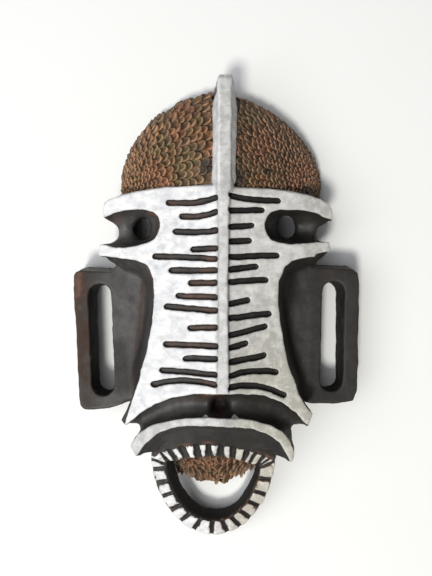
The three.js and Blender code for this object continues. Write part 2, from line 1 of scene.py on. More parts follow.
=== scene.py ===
import bpy
import numpy as np
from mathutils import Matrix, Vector


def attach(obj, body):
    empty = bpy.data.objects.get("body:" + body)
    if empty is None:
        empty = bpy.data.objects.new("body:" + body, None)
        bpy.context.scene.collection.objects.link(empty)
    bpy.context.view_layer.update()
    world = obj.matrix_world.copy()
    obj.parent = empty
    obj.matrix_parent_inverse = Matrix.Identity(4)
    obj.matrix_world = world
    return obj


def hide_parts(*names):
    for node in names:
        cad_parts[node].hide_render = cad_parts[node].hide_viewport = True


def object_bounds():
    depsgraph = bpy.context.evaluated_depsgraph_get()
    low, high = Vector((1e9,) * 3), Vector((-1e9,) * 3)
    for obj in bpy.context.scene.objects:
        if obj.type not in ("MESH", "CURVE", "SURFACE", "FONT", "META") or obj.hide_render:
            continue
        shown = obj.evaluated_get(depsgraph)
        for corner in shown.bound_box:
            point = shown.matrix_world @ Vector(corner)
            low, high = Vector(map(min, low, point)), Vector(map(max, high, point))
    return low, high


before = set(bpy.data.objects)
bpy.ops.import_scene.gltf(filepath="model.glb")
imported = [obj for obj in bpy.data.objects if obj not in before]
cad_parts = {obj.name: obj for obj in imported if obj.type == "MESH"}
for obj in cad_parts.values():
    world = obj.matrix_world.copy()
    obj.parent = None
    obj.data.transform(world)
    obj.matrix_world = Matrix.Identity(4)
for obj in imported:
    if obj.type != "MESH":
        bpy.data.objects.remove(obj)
cad_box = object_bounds()


# Camera
# It looks straight down on the waist of the face from 640 mm over the ground. The face is laid out
# in millimetres from the point of the ground under the lens.
face_origin = Vector((-0.0005, 0.02385, 0.0))
camera_height = 0.640
frame_height = 576
focal_pixels = 640
sensor = 36.0

camera_data = bpy.data.cameras.new("camera")
camera_data.sensor_width = sensor
camera_data.lens = sensor * focal_pixels / frame_height
camera_data.clip_start = 0.01
camera = bpy.data.objects.new("camera", camera_data)
camera.location = face_origin + Vector((0.0, 0.0, camera_height))
bpy.context.collection.objects.link(camera)
bpy.context.scene.camera = camera
bpy.context.scene.view_settings.view_transform = "Standard"


# Helpers for shader trees, first needed for the ground.
def add_node(tree, kind, inputs=None, **settings):
    """A new node with its settings, and its inputs given as values or as the sockets to join."""
    node = tree.nodes.new(kind)
    for name, value in settings.items():
        setattr(node, name, value)
    for key, value in (inputs or {}).items():
        if isinstance(value, bpy.types.NodeSocket):
            tree.links.new(value, node.inputs[key])
        else:
            node.inputs[key].default_value = value
    return node


def calculate(tree, operation, *values, clamp=False):
    """One Math node."""
    inputs = dict(enumerate(values))
    return add_node(tree, "ShaderNodeMath", inputs, operation=operation, use_clamp=clamp).outputs[0]


def spread(tree, value, low, high, to_low=0.0, to_high=1.0):
    """Value taken smoothly from the span low to high into the span to_low to to_high."""
    inputs = {"Value": value, "From Min": low, "From Max": high, "To Min": to_low, "To Max": to_high}
    return add_node(tree, "ShaderNodeMapRange", inputs, interpolation_type="SMOOTHSTEP").outputs[0]


def mix_colour(tree, share, first, second, blend="MIX"):
    inputs = {0: share, 6: first, 7: second}
    return add_node(tree, "ShaderNodeMix", inputs, data_type="RGBA", blend_type=blend).outputs[2]


def mix_value(tree, share, first, second):
    return add_node(tree, "ShaderNodeMix", {0: share, 2: first, 3: second}, data_type="FLOAT").outputs[0]


def colour_ramp(tree, value, stops):
    """Stops are pairs of a place from 0 to 1 and a linear colour."""
    node = add_node(tree, "ShaderNodeValToRGB", {0: value})
    ramp = node.color_ramp
    while len(ramp.elements) < len(stops):
        ramp.elements.new(0.5)
    for element, (place, colour) in zip(ramp.elements, stops):
        element.position = place
        element.color = (*colour, 1.0)
    return node.outputs[0]


def noise(tree, place, scale, detail=3.0, roughness=0.5):
    """Scale is the number of lumps to a metre."""
    inputs = {"Vector": place, "Scale": scale, "Detail": detail, "Roughness": roughness}
    return add_node(tree, "ShaderNodeTexNoise", inputs).outputs[0]


# Ground
# A plain, almost white paper sheet, much larger than the view, so that its edges never show.
ground_half = 3.0
ground_mesh = bpy.data.meshes.new("ground")
ground_corners = [(-ground_half, -ground_half, 0.0), (ground_half, -ground_half, 0.0),
                  (ground_half, ground_half, 0.0), (-ground_half, ground_half, 0.0)]
ground_mesh.from_pydata(ground_corners, [], [(0, 1, 2, 3)])
ground = bpy.data.objects.new("ground", ground_mesh)
bpy.context.collection.objects.link(ground)

darker_paper = (0.80, 0.80, 0.79, 1.0)
lighter_paper = (0.84, 0.84, 0.835, 1.0)
paper = bpy.data.materials.new("white_paper")
paper.use_nodes = True
tree = paper.node_tree
place = add_node(tree, "ShaderNodeTexCoord").outputs["Object"]
tone = mix_colour(tree, noise(tree, place, 4.0), darker_paper, lighter_paper)
shader = tree.nodes["Principled BSDF"]
tree.links.new(tone, shader.inputs["Base Color"])
shader.inputs["Roughness"].default_value = 0.85
shader.inputs["Specular IOR Level"].default_value = 0.2
ground_mesh.materials.append(paper)


# Light
# A far soft lamp from the lower left draws the shadows, a broad high window over the left half
# lights the left slopes and shines in the dark clay there, and the pale room gives the rest.
mask_middle = Vector((0.0, 0.0, 0.03))


def area_light(name, place, size, power, colour, size_y=None):
    """A lamp aimed at the middle of the mask, round unless it has a second size."""
    data = bpy.data.lights.new(name, "AREA")
    data.shape = "RECTANGLE" if size_y else "DISK"
    data.size = size
    if size_y:
        data.size_y = size_y
    data.energy = power
    data.color = colour
    light = bpy.data.objects.new(name, data)
    light.location = place
    light.rotation_euler = (mask_middle - Vector(place)).to_track_quat("-Z", "Y").to_euler()
    bpy.context.collection.objects.link(light)


lamp_way = Vector((-0.19, -0.45, 1.0)).normalized()
lamp_distance = 5.0
area_light("lamp", lamp_way * lamp_distance, size=0.88, power=165.0, colour=(1.0, 0.985, 0.92))
area_light("window", (-0.90, -0.22, 1.7), size=1.6, size_y=1.8, power=26.0, colour=(0.95, 0.97, 1.0))

world = bpy.data.worlds.new("room")
world.use_nodes = True
room = world.node_tree.nodes["Background"]
room.inputs["Color"].default_value = (0.97, 0.98, 1.0, 1.0)
room.inputs["Strength"].default_value = 0.17
bpy.context.scene.world = world


# Clay body
# One piece of coarse clay, coiled and slabbed by hand and joined while wet, so its edges are soft
# and none of its planes is quite flat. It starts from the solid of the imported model.
MM = 1000.0
voxel = 0.00085


def apply_modifiers(thing):
    """The object's mesh as its modifiers leave it takes the place of the mesh that it had."""
    depsgraph = bpy.context.evaluated_depsgraph_get()
    mesh = bpy.data.meshes.new_from_object(thing.evaluated_get(depsgraph))
    thing.modifiers.clear()
    thing.data = mesh
    return mesh


def count_triangles(mesh):
    return sum(len(face.vertices) - 2 for face in mesh.polygons)


body_object = bpy.data.objects.new("ceramic_mask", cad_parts["mask"].data.copy())
bpy.context.collection.objects.link(body_object)
remesh = body_object.modifiers.new("even_mesh", "REMESH")
remesh.mode = "VOXEL"
remesh.voxel_size = voxel
body_mesh = apply_modifiers(body_object)
body_mesh.name = "ceramic_mask"


def read_points(mesh):
    """The mesh's points in millimetres from the place under the lens."""
    flat = np.empty(len(mesh.vertices) * 3)
    mesh.vertices.foreach_get("co", flat)
    return (flat.reshape(-1, 3) - np.array(face_origin)) * MM


def write_points(mesh, points):
    mesh.vertices.foreach_set("co", (points / MM + np.array(face_origin)).ravel())
    mesh.update()


def paint(mesh, name, values):
    """One number for each point, which the material reads by its name."""
    layer = mesh.attributes.new(name, "FLOAT", "POINT")
    layer.data.foreach_set("value", np.asarray(values, dtype=np.float32))


def keep_in_box(points):
    """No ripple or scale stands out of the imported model's box."""
    low, high = [(np.array(corner) - np.array(face_origin)) * MM for corner in cad_box]
    return np.clip(points, low, high)


def read_edges(mesh):
    flat = np.empty(len(mesh.edges) * 2, dtype=np.int64)
    mesh.edges.foreach_get("vertices", flat)
    return flat.reshape(-1, 2)


def soften(points, edges, share, rounds):
    """Each point moves a share of the way to the middle of its neighbours, round after round."""
    count = len(points)
    first, second = edges.T
    degree = np.maximum(np.bincount(first, minlength=count) + np.bincount(second, minlength=count), 1)
    for _ in range(rounds):
        middle = np.empty_like(points)
        for axis in range(points.shape[1]):
            line = points[:, axis]
            middle[:, axis] = np.bincount(first, line[second], count)
            middle[:, axis] += np.bincount(second, line[first], count)
        points = points + share * (middle / degree[:, None] - points)
    return points


def smooth_step(value, low, high):
    t = np.clip((value - low) / (high - low), 0.0, 1.0)
    return t * t * (3.0 - 2.0 * t)


def chance(*numbers):
    """A fixed random number from 0 to 1 for each set of whole numbers."""
    mixed = np.zeros_like(np.asarray(numbers[0], dtype=np.int64))
    for number, prime in zip(numbers, (73856093, 19349663, 83492791, 49979687)):
        mixed = mixed ^ (np.asarray(number, dtype=np.int64) * prime)
    mixed = (mixed ^ (mixed >> 13)) * 1274126177 & 0x7FFFFFFF
    mixed = (mixed ^ (mixed >> 11)) * 668265263 & 0x7FFFFFFF
    return ((mixed >> 7) & 0xFFFF) / 65535.0


def ripple(points, size, seed):
    """Smooth lumps from -1 to 1, about size millimetres apart."""
    grid = points / size
    cell = np.floor(grid).astype(np.int64)
    t = grid - cell
    t = t * t * (3.0 - 2.0 * t)
    total = np.zeros(len(points))
    for corner in range(8):
        step = np.array([corner & 1, corner >> 1 & 1, corner >> 2 & 1])
        weight = np.prod(np.where(step == 1, t, 1.0 - t), axis=1)
        x, y, z = (cell + step).T
        total += weight * (2.0 * chance(x, y, z, np.full_like(x, seed)) - 1.0)
    return total


# the head shell under the scales, as the solid has it
head = {"wide_y": 93.0, "low_y": -104.0, "half_wide": 98.0, "half_low": 73.0, "crown": 93.5, "chin": 83.0,
        "height": 78.0, "mid_x": 2.0, "lean": 0.0263, "shift": 7.5}
crest_x = 7.5
scales_from = 80.0              # the crown's scales start over this y
chin_scales_to = -146.0         # and the chin's lie under this one
field_reach = 8.0               # the head's field holds this far out


def head_section(y):
    """The middle, half width and height of the head at y."""
    over = np.clip((y - head["wide_y"]) / head["crown"], 0.0, 0.999)
    middle = head["mid_x"] + head["lean"] * y - head["shift"] * over ** 1.5
    crown_share = 1.0 - over ** 2
    span = head["wide_y"] - head["low_y"] + head["chin"]
    under = np.clip((head["wide_y"] - y) / span, 0.0, 0.999)
    tip = np.clip((head["low_y"] - y) / head["chin"], 0.0, 0.999)
    share = np.clip((y - head["low_y"]) / (head["wide_y"] - head["low_y"]), 0.0, 1.0)
    half = head["half_low"] + share * (head["half_wide"] - head["half_low"])
    half = half * crown_share ** 0.53 * np.sqrt(1.0 - tip ** 2)
    height = head["height"] * np.sqrt(crown_share) * (1.0 - under ** 2.6) ** (1.0 / 2.2)
    return middle, half, height


def head_field(points):
    """How many millimetres each point is outside the head, and the way straight out."""
    def stretch(p):
        middle, half, height = head_section(p[:, 1])
        return np.hypot((p[:, 0] - middle) / half, p[:, 2] / height)

    value = stretch(points)
    slope = np.empty_like(points)
    for axis in range(3):
        step = np.zeros(3)
        step[axis] = 0.5
        slope[:, axis] = stretch(points + step) - stretch(points - step)
    length = np.maximum(np.linalg.norm(slope, axis=1), 1e-6)
    return (value - 1.0) / length, slope / length[:, None]


def near_head(points):
    """Where a point is close enough to the head for its field to hold."""
    middle, half, height = head_section(points[:, 1])
    beside = np.abs(points[:, 0] - middle) < half + field_reach
    return beside & (points[:, 2] < height + field_reach)


# the planes of the face's two halves, and of the ring's front, as the solid has them
roof = {"ridge_x": 6.0, "height": 97.0, "fall": 0.075, "slope": 0.3}
ring_front = {"height": 24.0, "y": -237.7, "tilt": 0.474}


def depth_under_fronts(points):
    """How many millimetres a point lies under the face's planes, and under the ring's front."""
    x, y, z = points.T
    roof_z = roof["height"] - roof["fall"] * y - roof["slope"] * np.abs(x - roof["ridge_x"])
    return roof_z - z, ring_front["height"] + ring_front["tilt"] * (y - ring_front["y"]) - z


body_edges = read_edges(body_mesh)
points = soften(read_points(body_mesh), body_edges, 0.5, 3)
x, y, z = points.T
outside, _ = head_field(points)

# the coves round the eyes, cheeks and lip were rubbed smooth with a wet finger
lip_y = -126.0                  # under this the ring's front counts too
eye_coves = (40.0, 84.0)        # from the cheek's edge to the brow's
cove_depth = (4.5, 9.0)         # the rubbing sets in over this depth
under_roof, under_ring = depth_under_fronts(points)
carved = np.where(y < lip_y, np.minimum(under_roof, under_ring), under_roof)
between_ears = 1.0 - smooth_step(np.abs(x), 80.0, 88.0)
rubbed = np.where(y > eye_coves[0], y < eye_coves[1], between_ears) * smooth_step(carved, *cove_depth)
rubbed *= smooth_step(z, 30.0, 38.0) * smooth_step(y, -136.0, -130.0)
smoothed = soften(points, body_edges, 0.5, 90)
points += rubbed[:, None] * (smoothed - points)

# the corners of the cheeks' outlines too, in the plan alone
cheek = smooth_step(np.abs(x - roof["ridge_x"]), 62.0, 67.0)
cheek *= smooth_step(z, 48.0, 54.0) * smooth_step(y, -112.0, -100.0)
cheek *= 1.0 - smooth_step(y, 20.0, 30.0)
points[:, :2] += cheek[:, None] * (smoothed - points)[:, :2]

# the joint of the crest and the nose ridge was smeared shut
joint_x, joint_y = 6.7, 87.0
joint = 1.0 - smooth_step(np.abs(y - joint_y), 3.0, 7.0)
joint *= (np.abs(x - joint_x) < 9.0) * (z > 86.0)
points += joint[:, None] * (soften(points, body_edges, 0.5, 20) - points)

# the crest is fuller toward its foot and behind the crown
fuller = 2.2
behind = smooth_step(y, 120.0, 172.0) * smooth_step(72.0 - z, 0.0, 16.0)
foot = smooth_step(y, 88.0, 96.0) * (1.0 - smooth_step(outside, 5.0, 13.0))
flank = np.maximum(behind, foot) * (1.0 - 0.6 * smooth_step(y, 164.0, 178.0))
flank *= (np.abs(x - crest_x) < 16.0) * (z > 1.0) * (outside > 0.5)
points[:, 0] += fuller * flank * np.sign(x - crest_x)

# the hand's unevenness: long waves and short dents, none of them on the flat back rim, and only
# the long waves in the hollow
long_wave, dent, small_dent = 17.0, 6.5, 3.1
free = smooth_step(z, 1.0, 9.0)
in_view = smooth_step(outside, -6.0, -2.0)
for axis, amount in enumerate((0.45, 0.45, 0.30)):
    dents = 0.8 * ripple(points, dent, 13 + axis) + 0.45 * ripple(points, small_dent, 23 + axis)
    points[:, axis] += amount * free * (ripple(points, long_wave, 3 + axis) + in_view * dents)

# the bare skin of the head lies a little lower than the coarse scales of the solid, which stand
# further out where neither the crest nor the brow is near
skin_sink = 0.5
crest_foot = 15.0               # half the crest's width with the clay smeared along it
outside, way_out = head_field(points)
scales_alone = (y > head["wide_y"]) & (np.abs(x - crest_x) > crest_foot)
farthest = np.where(scales_alone, 7.0, 2.6)
on_skin = smooth_step(outside, -3.0, -1.5) * (1.0 - smooth_step(outside - farthest, 0.0, 1.6))
in_reach = np.maximum(smooth_step(y, scales_from - 3.0, scales_from),
                      1.0 - smooth_step(y, chin_scales_to, chin_scales_to + 3.0))
on_skin *= in_reach * smooth_step(z, 0.3, 2.0) * near_head(points)
points += way_out * ((-skin_sink - outside) * on_skin)[:, None]
points = keep_in_box(points)

# how deep each point lies in a crease, or how far out on an edge, in millimetres
write_points(body_mesh, points)
normals = np.empty(len(points) * 3)
body_mesh.vertices.foreach_get("normal", normals)
around = soften(points, body_edges, 0.5, 14) - points
paint(body_mesh, "crease", np.einsum("ij,ij->i", around, normals.reshape(-1, 3)))


# Thinning
# The even mesh is thinned where it is flat, as in the hollow, and stays fine where the carving is.
most_triangles = 194000
triangles = count_triangles(body_mesh)
thin = body_object.modifiers.new("thin", "DECIMATE")
thin.ratio = min(1.0, most_triangles / triangles)
body_mesh = apply_modifiers(body_object)
body_mesh.shade_smooth()
print("body triangles", triangles, "->", count_triangles(body_mesh))


# White slip and dark clay
# The raised planes of the face, the nose ridge, the crest and the teeth were brushed with white
# slip; what is carved deeper, the sides, the ears and the ring's wall stay dark. Each field says
# how many millimetres a point lies inside the white.
tooth_arch = {"x": -8.0, "y": -145.8, "fall": 0.0045, "half": 6.0}
brow = {"y": 86.0, "bow": 0.0007, "top_y": 99.0}
ring = {"x": -2.3, "y": -157.4, "half_wide": 56.6, "half_long": 79.0}
mouth = {"x": -2.7, "y": -157.4, "half_wide": 46.0, "half_long": 67.0}
nostril_line = ((2.5, -98.0), (2.5, -106.0))
slip_reach = 1.3                # the slip runs this far down over the edges
most = 4.0                      # the fields are cut off this far inside and outside

points = read_points(body_mesh)
outside, way_out = head_field(points)
# the thinning leaves a stray point here and there over the head's skin
x, y, z = points.T
stray = (y > head["wide_y"]) & (np.abs(x - crest_x) > crest_foot) & (outside > -0.3)
points += way_out * ((-skin_sink - outside) * stray)[:, None]
write_points(body_mesh, points)
middle, half, height = head_section(y)
under_roof, under_ring = depth_under_fronts(points)
arch_y = tooth_arch["y"] - tooth_arch["fall"] * (x - tooth_arch["x"]) ** 2


def beyond(start, end):
    """How far each point lies to the right of the line from start to end, going up."""
    along = np.array(end) - np.array(start)
    along = along / np.hypot(*along)
    return (x - start[0]) * along[1] - (y - start[1]) * along[0]


def from_line(start, end):
    """How far each point lies from the line between two places of the plan."""
    along = np.array(end) - np.array(start)
    share = np.clip(((x - start[0]) * along[0] + (y - start[1]) * along[1]) / (along @ along), 0.0, 1.0)
    return np.hypot(x - start[0] - share * along[0], y - start[1] - share * along[1])


def marks(lines):
    """Soft marks along lines, each as start, end, half width and strength."""
    strength = np.zeros(len(x))
    for start, end, reach, strongest in lines:
        faded = smooth_step(from_line(start, end), 0.4 * reach, 1.3 * reach)
        strength = np.maximum(strength, strongest * (1.0 - faded))
    return strength


brow_edge = brow["y"] - brow["bow"] * (x - roof["ridge_x"]) ** 2
on_face = np.minimum(slip_reach - under_roof, brow_edge - y)

# the left jaw keeps a dark strip outside the slip, and the lip's right end a dark corner
left_jaw = beyond((-79.0, -116.0), (-70.0, -88.0))
on_face = np.where((x < 0) & (y < -78.0) & (y > -121.0), np.minimum(on_face, left_jaw), on_face)
lip_corner = beyond((66.5, -139.4), (59.3, -122.0))
on_face = np.where((x > 40) & (y < -119.0), np.minimum(on_face, -lip_corner), on_face)

# brow and crest are white down to the head, and the crest's end is dark below, most on its left
above_head = z - height * np.sqrt(np.clip(1.0 - ((x - middle) / half) ** 2, 0.0, 1.0))
on_brow = np.minimum(above_head - np.where(y > brow["top_y"], 0.5, 1.4), y - brow_edge + 0.8)
on_crest = np.minimum(on_brow, 14.0 - np.abs(x - crest_x))
on_brow = np.where(y > brow["top_y"], on_crest, on_brow)
crest_end_y = 164.0
dark_left = smooth_step(y, crest_end_y, 178.0) * smooth_step(crest_x + 6.0 - x, 0.0, 4.0)
crest_side = z - 42.0 - 22.0 * dark_left
on_brow = np.where(y > crest_end_y, np.minimum(on_brow, crest_side), on_brow)

# the slip on the teeth is worn back in places from the edges of the grooves between them
on_teeth = np.minimum(0.75 - np.abs(under_ring), arch_y + tooth_arch["half"] - y)
creases = np.empty(len(x))
body_mesh.attributes["crease"].data.foreach_get("value", creases)
ring_reach = 1.0 - np.hypot((x - ring["x"]) / ring["half_wide"], (y - ring["y"]) / ring["half_long"])
tooth_edge = smooth_step(-creases, 0.08, 0.22) * smooth_step(ring_reach, 0.022, 0.045)
tooth_edge *= (y < -160.0) | (x < 32.0)
on_teeth -= 0.8 * tooth_edge * (0.5 + 0.5 * ripple(points, 7.0, 94))
in_ring = np.minimum(62.0 - np.abs(x + 2.2), -132.0 - y)
on_teeth = np.minimum(on_teeth, in_ring)

# two white cusps come up beside the nostril
left_cusp_x, right_cusp_x = -8.8, 15.8
on_cusps = -107.4 - 0.75 * np.minimum(np.abs(x - left_cusp_x), np.abs(x - right_cusp_x)) - y
beside_nostril = (under_roof < 60.0) & (outside > 2.0) & (y > -113.5) & (np.abs(x - 3.5) < 17.5)
on_cusps = np.where(beside_nostril, on_cusps, -most)
slip = np.maximum(np.maximum(on_face, on_brow), np.maximum(on_teeth, on_cusps))
slip = np.clip(slip, -most, most)

# the bare skin under the scales, and the hollow
on_head = np.minimum(1.2 - outside, outside + most)
reach = np.maximum(y - scales_from, chin_scales_to - y)
skin = np.where(near_head(points), np.clip(np.minimum(on_head, reach), -most, most), -most)
inside = np.clip(-2.0 - outside, -most, most)

# grey: painted shade over the right half, more toward the bottom and at its outer edge, and on the crest's
# right flank;
# the ridge's top, the crest's top and left flank and the lip are greyer too. yellow: a painted warm cast of
# the light over the right half, most toward the bottom, where the slip's cream flecks lie
from_ridge = x - roof["ridge_x"]
right_half = smooth_step(from_ridge, 1.0, 14.0)
ridge_top = 1.0 - smooth_step(np.abs(from_ridge), 5.0, 8.0)
grey = np.maximum(0.66 * ridge_top, right_half * (0.50 + 0.46 * smooth_step(-y, -40.0, 80.0)))
crest_top = smooth_step(x, 3.0, 3.9) * (1.0 - smooth_step(x - crest_x, 5.2, 6.4))
crest_top = np.maximum(crest_top, 0.7 * smooth_step(y, 183.0, 184.5))
crest_sides = 0.55 * smooth_step(x, 12.0, 14.0) + 0.5 * (1.0 - smooth_step(x, 0.8, 1.6))
crest_share = smooth_step(y, 80.0, 98.0) * (np.abs(x - crest_x) < 16.0)
grey += crest_share * (0.72 * crest_top + crest_sides - grey)
grey = np.maximum(grey, right_half * smooth_step(x, 70.0, 84.0) * 0.9)
grey = np.where((y < -109.0) & (under_ring < -2.5), np.maximum(grey, 0.85), grey)
yellow = right_half * (0.35 + 0.65 * smooth_step(-y, 0.0, 110.0))

# shade and darkening: painted shade, black where shade falls in the ear slots, the eye holes and the hollow
# round them, round the nostril's pit, in the lip's cove and on the ring's inner wall, and a little over the
# right side away from the light; and a darker mark on the left ear's lower part
ear_front = 44.2
left_slot = from_line((-107.8, -6.6), (-104.8, -90.0)) - 11.6
right_slot = from_line((109.2, -3.8), (107.6, -87.0)) - 10.8
slot_walls = np.minimum(left_slot, right_slot)
# painted shade on the ear slots' walls under the ear's front
shade_and_darkening = smooth_step(-slot_walls, -0.6, 0.4) * smooth_step(ear_front - z, 0.0, 3.0) * (z < 50.0)
# painted shade in the eye holes and in the hollow round them
eye_holes = np.minimum(np.hypot((x + 67.0) / 0.86, y - 54.2), np.hypot((x - 63.4) / 0.9, y - 55.0))
shade_and_darkening = np.maximum(shade_and_darkening, (1.0 - smooth_step(eye_holes, 8.5, 11.5)) * smooth_step(under_roof, 10.0, 16.0))
shade_and_darkening = np.maximum(shade_and_darkening, (1.0 - smooth_step(eye_holes, 15.0, 21.0)) * (outside < -1.0))
# painted shade round the nostril's pit
nostril = from_line(*nostril_line)
nostril_edge = smooth_step(nostril, 5.0, 7.5) * (1.0 - smooth_step(nostril, 9.0, 11.0))
shade_and_darkening = np.maximum(shade_and_darkening, 0.8 * nostril_edge * smooth_step(under_roof, 8.0, 12.0))
# painted shade in the lip's cove over the teeth, and over the right side beyond x 88
lip_band = (y < -119.0) & (y > -152.0) & (under_ring < -1.5) & (slip < 0.3)
shade_and_darkening = np.maximum(shade_and_darkening, np.where(lip_band | (x > 88.0), 0.36, 0.0))
# a darker mark along the left ear's lower part
left_ear_low = marks([((-92.0, -56.0), (-86.0, -90.0), 10.0, 0.4)])
shade_and_darkening = np.maximum(shade_and_darkening, left_ear_low * (slip < 0.0))
# painted shade on the ring's inner wall
mouth_wall = np.hypot((x - mouth["x"]) / mouth["half_wide"], (y - mouth["y"]) / mouth["half_long"]) < 1.0
shade_and_darkening = np.maximum(shade_and_darkening, 0.85 * mouth_wall * (y < -150.0) * smooth_step(under_ring, 2.6, 6.0))

# brown: where the fire left the clay red, mostly along the left ear's outside
brown = marks([((-125.0, -22.0), (-122.0, -80.0), 9.0, 1.0), ((-127.0, 10.0), (-124.0, -20.0), 8.0, 0.75),
               ((-122.0, -80.0), (-118.0, -106.0), 9.0, 0.45), ((-67.5, 6.0), (-77.0, -88.0), 2.2, 0.8),
               ((-30.0, -97.0), (-8.0, -93.0), 5.0, 0.5), ((129.0, -30.0), (129.0, -70.0), 3.0, 0.4),
               (*nostril_line, 6.0, 1.0)])

# rust: where the clay was rubbed back to its orange brown, at the edges, over the teeth, in the
# strokes' floors on the left half, and where the teeth's slip is worn
over_teeth = 1.0 - smooth_step(np.abs(y - arch_y - tooth_arch["half"] - 1.6), 0.7, 2.6)
patchy = smooth_step(ripple(points, 8.0, 91), -0.1, 0.5)
stroke_floor = smooth_step(under_roof, 1.6, 3.0) * (1.0 - smooth_step(under_roof, 5.5, 7.0))
stroke_floor *= (x < roof["ridge_x"]) * (x > -62.0) * (y > -95.0) * (y < 84.0)
rust = marks([((-128.5, 14.0), (-128.0, -6.0), 3.0, 1.0), ((-127.5, -18.0), (-126.0, -46.0), 2.2, 0.6),
              ((-118.0, 18.0), (-96.0, 20.0), 1.5, 0.5), ((62.0, -137.0), (58.0, -126.0), 3.0, 0.8),
              ((-97.0, 55.0), (-90.0, 62.0), 3.0, 0.4)])
rust *= smooth_step(ripple(points, 4.5, 93), -0.35, 0.55)
rust = np.maximum(rust, 0.9 * patchy * over_teeth * (np.abs(x) < 54.0))
rust = np.maximum(rust, 0.9 * smooth_step(ripple(points, 21.0, 92), -0.25, 0.5) * stroke_floor)
rust = np.maximum(rust, 0.9 * tooth_edge * smooth_step(x - 0.25 * (y + 200.0), -4.0, 16.0) * (y < -150.0))

# painted sheen: a paler grey over the left half, less low on the left ear, with paler marks: painted sheen
# on the moustache's left and in the left eye hollow, and pale marks on the left ear and at its foot
sheen_and_pale_marks = 0.44 * (1.0 - smooth_step(x, -60.0, 10.0)) * smooth_step(x, -116.0, -100.0)
sheen_and_pale_marks *= 1.0 - 0.6 * smooth_step(-y, 35.0, 80.0) * (x < -66.0)
sheen_and_pale_marks = np.maximum(sheen_and_pale_marks, marks([((-94.0, -12.0), (-80.0, -20.0), 7.0, 0.8),
                             ((-86.0, -96.0), (-80.0, -103.0), 4.0, 0.5),
                             ((-48.0, -100.0), (-24.0, -96.0), 8.0, 0.6),
                             ((-98.0, 50.0), (-78.0, 58.0), 11.0, 1.0)]))

fields = {"slip": slip, "skin": skin, "hollow": inside, "grey": grey, "yellow": yellow, "shade_and_darkening": shade_and_darkening,
          "brown": brown, "sheen_and_pale_marks": sheen_and_pale_marks, "rust": rust}
for name, values in fields.items():
    paint(body_mesh, name, values)


# Scales
# Small pellets of red clay were flattened between the fingers and pressed on in rows from the
# outside toward the crest. Each round free end stands up over the root of the next, and the rows
# draw together toward both ends of the brow.
scale_rise = 3.1                # height of the free end over the skin
end_lag = 0.50                  # the sides end this share of the length before the tip
row_sag = 0.16                  # the rows sink toward the outside by this turn
row_points = 260                # points at which each row's line on the skin is worked out
pole_gap = 14.0                 # no scale lies nearer to the line that the rows turn about

# where one scale's points lie, as shares of its length and of half its width
scale_grid_along = (0.0, 0.22, 0.44, 0.62, 0.76, 0.87, 0.95, 1.0)
scale_grid_across = (-1.0, -0.72, -0.38, 0.0, 0.38, 0.72, 1.0)


def skin_place(turn, x, pole_y, way):
    """The skin's point at x in the plane turned about the row axis, found by halving."""
    near = np.zeros_like(x)
    far = np.full_like(x, 160.0)
    for _ in range(26):
        reach = (near + far) / 2.0
        middle, half, height = head_section(pole_y + way * reach * np.cos(turn))
        within = ((x - middle) / half) ** 2 + (reach * np.sin(turn) / height) ** 2 < 1.0
        near = np.where(within, reach, near)
        far = np.where(within, far, reach)
    return np.stack([x, pole_y + way * near * np.cos(turn), near * np.sin(turn)], axis=1)


# the rows turn about a line across the head at the pole and end beside the middle; the pitch is a
# share of the rows' distance, and no less than the least
crown = {"pole_y": 88.0, "way": 1.0, "half_wide": 97.0, "middle_x": crest_x, "inner": 9.5, "share": 0.84,
         "least": 4.4}
chin = {"pole_y": -112.0, "way": -1.0, "half_wide": 68.0, "middle_x": 0.0, "inner": 1.0, "share": 0.9,
        "least": 3.5}


def scale_rows(area, turns, side, seed):
    """Places of the scales: root, way to the free end, row distance, pitch, row, number and seed."""
    places = []
    pole_y = area["pole_y"]
    step = turns[1] - turns[0]
    walk = np.linspace(area["half_wide"] * 1.02, area["inner"], row_points)
    row_x = side * walk + area["middle_x"]
    sag = row_sag * (walk / area["half_wide"]) ** 1.5
    for row, turn in enumerate(turns):
        line = skin_place(turn + sag, row_x, pole_y, area["way"])
        beside = skin_place(turn + sag + step, row_x, pole_y, area["way"])
        distance = np.linalg.norm(beside - line, axis=1)
        length = np.concatenate([[0.0], np.cumsum(np.linalg.norm(np.diff(line, axis=0), axis=1))])
        good = np.linalg.norm(line[:, 1:] - np.array([pole_y, 0.0]), axis=1) > pole_gap
        if not good.any():
            continue
        at = length[good.argmax()] + 6.0 * float(chance(row, seed, 7))
        count = 0
        while at < length[-1]:
            here = np.array([np.interp(at, length, line[:, axis]) for axis in range(3)])
            ahead = np.array([np.interp(at + 2.0, length, line[:, axis]) for axis in range(3)])
            wide = float(np.interp(at, length, distance))
            steep = 1.0 - float(smooth_step(here[2], 8.0, 62.0))
            pitch = max(area["least"], area["share"] * wide) * (1.0 + 0.45 * steep)
            places.append((*here, *(ahead - here), wide, pitch, row, count, seed))
            at += pitch * (0.78 + 0.44 * float(chance(row, count, seed, 3)))
            count += 1
    return places


left_turns = np.radians(np.linspace(3.0, 96.0, 17))
right_turns = np.radians(np.linspace(3.0, 97.0, 23))
chin_turns = np.radians(np.linspace(4.0, 66.0, 14))
places = np.array(scale_rows(crown, left_turns, -1.0, 1) + scale_rows(crown, right_turns, 1.0, 2)
                  + scale_rows(chin, chin_turns, -1.0, 3) + scale_rows(chin, chin_turns, 1.0, 4))
